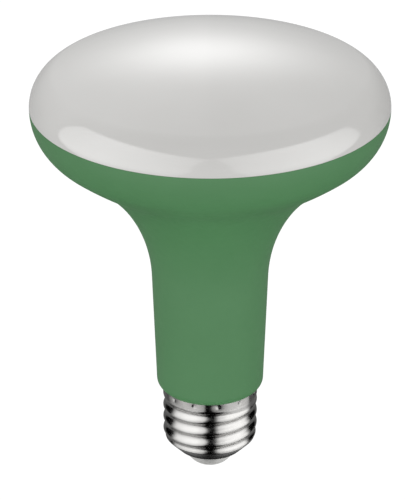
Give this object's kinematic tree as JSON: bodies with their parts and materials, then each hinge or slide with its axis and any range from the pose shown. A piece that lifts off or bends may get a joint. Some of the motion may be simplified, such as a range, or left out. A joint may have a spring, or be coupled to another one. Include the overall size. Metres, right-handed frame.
{
  "type": "reflector light bulb",
  "caption": "Reflector light bulb with a wide frosted dome, a green flared housing that narrows to a neck, and a bright metal screw cap.",
  "frame": {"origin": "centre of the lower face of the centre contact, on the bulb's axis", "axes": "+Z along the bulb's axis from the cap towards the dome; -Y is the side that the picture shows"},
  "size_m": [0.096, 0.096, 0.1245],
  "materials": {
    "diffuser": "frosted white, soft gloss",
    "housing": "moulded green, fine satin",
    "screw_shell": "bright nickel plate",
    "base_insulator": "black, glossy",
    "centre_contact": "tinned, satin"
  },
  "bodies": {
    "root": {"diffuser": "diffuser", "housing": "housing", "screw_shell": "screw_shell", "base_insulator": "base_insulator", "centre_contact": "centre_contact"}
  },
  "joints": []
}
